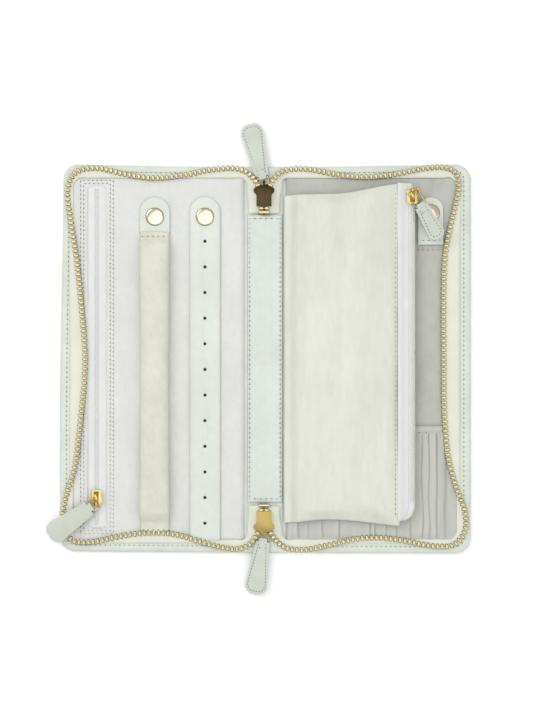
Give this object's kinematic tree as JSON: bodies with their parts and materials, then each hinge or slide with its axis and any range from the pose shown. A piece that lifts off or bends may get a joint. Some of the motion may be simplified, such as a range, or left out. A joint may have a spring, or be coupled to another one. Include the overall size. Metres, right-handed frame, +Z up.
{
  "type": "travel jewellery case",
  "caption": "Zip-round leather travel jewellery case lying open, with ring roll, earring strap, zipped pouch page, necklace tabs and pockets.",
  "frame": {"origin": "middle of the spine's outer face, where the open case rests on the table", "axes": "+Z up out of the open case, +X to the right cover, +Y along the spine to the top slider"},
  "size_m": [0.2335, 0.2593, 0.0136],
  "materials": {
    "outer_leather": "fine grained mint leather, satin",
    "inner_leather": "smooth mint leather, satin",
    "pull_leather": "mint leather with stitched border",
    "stiff_board": "grey fibre board",
    "lining_cloth": "warm light grey microfibre",
    "suede": "cream green suede",
    "pouch_cloth": "cream suede cloth",
    "main_tape": "cream woven tape",
    "inner_tape": "white woven tape",
    "nylon_coil": "white nylon coil",
    "brass_teeth": "polished light gold",
    "gold_slider": "satin gold",
    "gold_snap": "polished gold",
    "elastic": "covered elastic"
  },
  "bodies": {
    "spine": {"spine_outer_leather": "outer_leather", "spine_board": "stiff_board", "spine_inner_leather": "inner_leather", "spine_strip": "inner_leather", "spine_zip_tapes": "main_tape", "spine_zip_teeth": "brass_teeth", "main_zip_stops": "brass_teeth"},
    "left_panel": {"left_outer_leather": "outer_leather", "left_board": "stiff_board", "left_lining": "lining_cloth", "left_rim": "outer_leather", "left_zip_tape": "main_tape", "left_zip_teeth": "brass_teeth", "pocket_bag": "lining_cloth", "pocket_zip_tapes": "inner_tape", "pocket_zip_coil": "nylon_coil", "pocket_zip_stops": "nylon_coil", "left_snap_studs": "gold_snap"},
    "right_panel": {"right_outer_leather": "outer_leather", "right_board": "stiff_board", "right_lining": "lining_cloth", "right_rim": "outer_leather", "right_zip_tape": "main_tape", "right_zip_teeth": "brass_teeth", "right_snap_studs": "gold_snap", "elastic_pocket_cloth": "lining_cloth", "elastic_pocket_cord": "elastic"},
    "pouch": {"pouch_back_leaf": "pouch_cloth", "pouch_front_leaf": "pouch_cloth", "pouch_zip_tapes": "inner_tape", "pouch_zip_coil": "nylon_coil", "pouch_zip_stops": "nylon_coil"},
    "ring_roll": {"ring_roll_pad": "suede", "ring_roll_tab": "inner_leather", "ring_roll_snap_cap": "gold_snap"},
    "earring_strap": {"earring_strap_leather": "inner_leather", "earring_strap_snap_cap": "gold_snap"},
    "necklace_tab_1": {"necklace_tab_1_leather": "inner_leather", "necklace_tab_1_snap_cap": "gold_snap"},
    "necklace_tab_2": {"necklace_tab_2_leather": "inner_leather", "necklace_tab_2_snap_cap": "gold_snap"},
    "necklace_tab_3": {"necklace_tab_3_leather": "inner_leather", "necklace_tab_3_snap_cap": "gold_snap"},
    "necklace_tab_4": {"necklace_tab_4_leather": "inner_leather", "necklace_tab_4_snap_cap": "gold_snap"},
    "top_slider": {"top_slider_body": "gold_slider"},
    "top_pull": {"top_pull_link": "gold_slider", "top_pull_leather": "pull_leather"},
    "bottom_slider": {"bottom_slider_body": "gold_slider"},
    "bottom_pull": {"bottom_pull_link": "gold_slider", "bottom_pull_leather": "pull_leather"},
    "pocket_slider": {"pocket_slider_body": "gold_slider"},
    "pocket_pull": {"pocket_pull_link": "gold_slider", "pocket_pull_leather": "pull_leather"},
    "pouch_slider": {"pouch_slider_body": "gold_slider"},
    "pouch_pull": {"pouch_pull_link": "gold_slider", "pouch_pull_leather": "pull_leather"}
  },
  "joints": [
    {"name": "left_fold", "type": "hinge", "parent": "spine", "child": "left_panel", "pos_m": [-0.0105, 0, 0.0033], "axis": [0, 1, 0], "range_deg": [0, 90]},
    {"name": "right_fold", "type": "hinge", "parent": "spine", "child": "right_panel", "pos_m": [0.0105, 0, 0.0033], "axis": [0, -1, 0], "range_deg": [0, 90]},
    {"name": "pouch_page", "type": "hinge", "parent": "right_panel", "child": "pouch", "pos_m": [0.0113, 0, 0.0042], "axis": [0, 1, 0], "range_deg": [-95, 0]},
    {"name": "ring_roll_lift", "type": "hinge", "parent": "left_panel", "child": "ring_roll", "pos_m": [-0.0606, -0.0915, 0.0035], "axis": [-1, 0, 0], "range_deg": [-75, 0]},
    {"name": "earring_strap_lift", "type": "hinge", "parent": "left_panel", "child": "earring_strap", "pos_m": [-0.033, -0.0945, 0.0035], "axis": [-1, 0, 0], "range_deg": [-85, 0]},
    {"name": "necklace_tab_1_lift", "type": "hinge", "parent": "right_panel", "child": "necklace_tab_1", "pos_m": [0.0912, 0.0627, 0.0035], "axis": [-1, 0, 0], "range_deg": [-3, 0]},
    {"name": "necklace_tab_2_lift", "type": "hinge", "parent": "right_panel", "child": "necklace_tab_2", "pos_m": [0.0712, 0.0627, 0.0035], "axis": [-1, 0, 0], "range_deg": [-3, 0]},
    {"name": "necklace_tab_3_lift", "type": "hinge", "parent": "right_panel", "child": "necklace_tab_3", "pos_m": [0.0512, 0.0627, 0.0035], "axis": [-1, 0, 0], "range_deg": [-3, 0]},
    {"name": "necklace_tab_4_lift", "type": "hinge", "parent": "right_panel", "child": "necklace_tab_4", "pos_m": [0.0312, 0.0627, 0.0035], "axis": [-1, 0, 0], "range_deg": [-3, 0]},
    {"name": "top_slider_slide", "type": "slide", "parent": "spine", "child": "top_slider", "axis": [0, 1, 0], "range_m": [-0.002, 0]},
    {"name": "bottom_slider_slide", "type": "slide", "parent": "spine", "child": "bottom_slider", "axis": [0, -1, 0], "range_m": [-0.002, 0]},
    {"name": "pocket_slider_slide", "type": "slide", "parent": "left_panel", "child": "pocket_slider", "axis": [0, -1, 0], "range_m": [-0.165, 0]},
    {"name": "pouch_slider_slide", "type": "slide", "parent": "pouch", "child": "pouch_slider", "axis": [0, 1, 0], "range_m": [-0.165, 0]},
    {"name": "top_pull_swing", "type": "hinge", "parent": "top_slider", "child": "top_pull", "pos_m": [-0.0005, 0.0959, 0.00455], "axis": [-0.9748, -0.2233, 0], "range_deg": [-60, 0]},
    {"name": "bottom_pull_swing", "type": "hinge", "parent": "bottom_slider", "child": "bottom_pull", "pos_m": [-0.0005, -0.0959, 0.00455], "axis": [0.989, -0.1478, 0], "range_deg": [-60, 0]},
    {"name": "pocket_pull_swing", "type": "hinge", "parent": "pocket_slider", "child": "pocket_pull", "pos_m": [-0.0927, -0.07915, 0.00655], "axis": [0.585, -0.8111, 0], "range_deg": [-80, 0]},
    {"name": "pouch_pull_swing", "type": "hinge", "parent": "pouch_slider", "child": "pouch_pull", "pos_m": [0.0806, 0.09175, 0.01245], "axis": [0.8746, 0.4848, 0], "range_deg": [-80, 0]}
  ]
}
